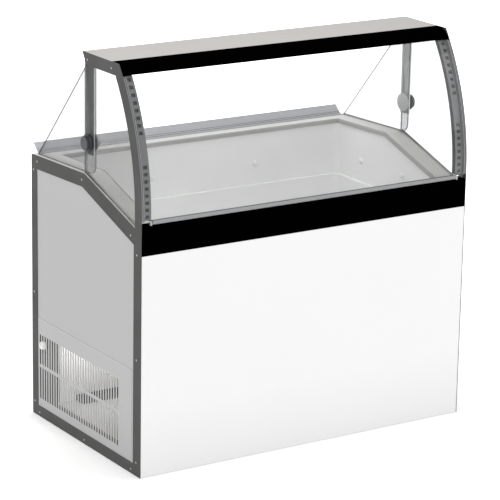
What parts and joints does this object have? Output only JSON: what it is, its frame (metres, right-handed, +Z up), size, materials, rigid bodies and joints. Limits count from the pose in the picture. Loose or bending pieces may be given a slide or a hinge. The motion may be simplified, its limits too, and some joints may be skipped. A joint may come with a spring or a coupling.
{
  "type": "ice cream dipping cabinet",
  "caption": "Glazed dipping cabinet for scooped ice cream: insulated tub, curved tilting front glass, tinted side panes, steel canopy, riveted side trim and a side grille over the machine room",
  "frame": {"origin": "Middle of the footprint's bounding box, on the floor under the glides", "axes": "+X to the right seen from the customer's side, -Y is the customer's side with the curved glass, +Y is the server's side, +Z up"},
  "size_m": [1.2196, 0.71, 1.25],
  "materials": {
    "white_enamel": "smooth semi-gloss white enamel",
    "grey_enamel": "smooth satin grey enamel",
    "dark_trim": "satin dark grey coat",
    "black_gloss": "high gloss black",
    "frame_steel": "matt black coat",
    "bare_steel": "brushed stainless",
    "counter_steel": "satin stainless",
    "galvanised": "zinc coated sheet",
    "extruded_aluminium": "satin anodised",
    "liner_white": "white coat on steel",
    "foam": "rigid expanded foam",
    "copper": "drawn copper tube",
    "clear_glass": "clear toughened glass",
    "smoke_glass": "grey tinted glass",
    "black_plastic": "satin black plastic",
    "grey_plastic": "satin grey plastic",
    "strip_plastic": "satin dark plastic",
    "white_plastic": "glossy white plastic",
    "red_plastic": "glossy red plastic",
    "lamp_glass": "frosted white tube",
    "black_rubber": "black rubber",
    "motor_metal": "grey coat",
    "fan_metal": "pressed aluminium"
  },
  "bodies": {
    "cabinet": {"base_frame": "frame_steel", "base_glides": "black_rubber", "machine_floor": "galvanised", "left_side_panel": "grey_enamel", "right_side_panel": "grey_enamel", "left_service_grille": "grey_enamel", "left_side_trim": "dark_trim", "right_side_trim": "dark_trim", "trim_rivets": "fan_metal", "power_inlet": "black_plastic", "front_panel": "white_enamel", "lower_band": "black_gloss", "rear_panel": "grey_enamel", "rear_vent": "galvanised", "foam_insulation": "foam", "tub_liner": "liner_white", "wall_plugs": "white_plastic", "evaporator_coil": "copper", "countertop": "counter_steel", "breaker_strip": "grey_plastic", "drain_tube": "white_plastic", "left_post": "dark_trim", "right_post": "dark_trim", "glass_edge_beads": "extruded_aluminium", "glazing_strips": "strip_plastic", "pivot_brackets": "extruded_aluminium", "canopy_top": "bare_steel", "canopy_fascia": "black_gloss", "canopy_soffit": "bare_steel", "lamp_tube": "lamp_glass", "lamp_sockets": "white_plastic", "switch_body": "black_plastic", "left_front_pane": "clear_glass", "right_front_pane": "clear_glass", "left_rear_pane": "smoke_glass", "right_rear_pane": "smoke_glass", "left_pane_channel": "extruded_aluminium", "right_pane_channel": "extruded_aluminium", "left_clamp_disc": "extruded_aluminium", "right_clamp_disc": "extruded_aluminium", "pane_joint_strips": "grey_plastic", "rear_ledge_rail": "extruded_aluminium", "compressor": "frame_steel", "compressor_feet": "black_rubber", "condenser": "frame_steel", "air_baffle": "white_enamel", "drip_tray": "black_plastic", "fan_shroud": "black_plastic", "fan_motor": "motor_metal", "control_box": "black_plastic", "thermostat_body": "black_plastic", "refrigerant_pipes": "copper"},
    "front_glass_frame": {"front_glass": "clear_glass", "glass_rail": "extruded_aluminium"},
    "fan": {"fan_blade": "fan_metal"},
    "dial": {"thermostat_knob": "white_plastic"},
    "left_hand_knob": {"left_clamp_knob": "black_plastic"},
    "right_hand_knob": {"right_clamp_knob": "black_plastic"},
    "rocker": {"switch_rocker": "red_plastic"},
    "plug": {"drain_plug": "black_rubber"}
  },
  "joints": [
    {"name": "front_glass_tilt", "type": "hinge", "parent": "cabinet", "child": "front_glass_frame", "pos_m": [0, -0.349, 0.794], "axis": [1, 0, 0], "range_deg": [0, 60]},
    {"name": "fan_spin", "type": "hinge", "parent": "cabinet", "child": "fan", "pos_m": [-0.106, -0.06, 0.174], "axis": [1, 0, 0], "continuous": true},
    {"name": "dial_turn", "type": "hinge", "parent": "cabinet", "child": "dial", "pos_m": [-0.59, 0.255, 0.249], "axis": [-1, 0, 0], "range_deg": [0, 270]},
    {"name": "left_clamp_turn", "type": "hinge", "parent": "cabinet", "child": "left_hand_knob", "pos_m": [-0.6, -0.0305, 0.973], "axis": [-1, 0, 0], "range_deg": [0, 360]},
    {"name": "right_clamp_turn", "type": "hinge", "parent": "cabinet", "child": "right_hand_knob", "pos_m": [0.6, -0.0305, 0.973], "axis": [1, 0, 0], "range_deg": [0, 360]},
    {"name": "lamp_switch_rock", "type": "hinge", "parent": "cabinet", "child": "rocker", "pos_m": [0.487, -0.064, 1.2165], "axis": [1, 0, 0], "range_deg": [0, 18]},
    {"name": "drain_plug_lift", "type": "slide", "parent": "cabinet", "child": "plug", "axis": [0, 0, 1], "range_m": [0, 0.05]}
  ]
}
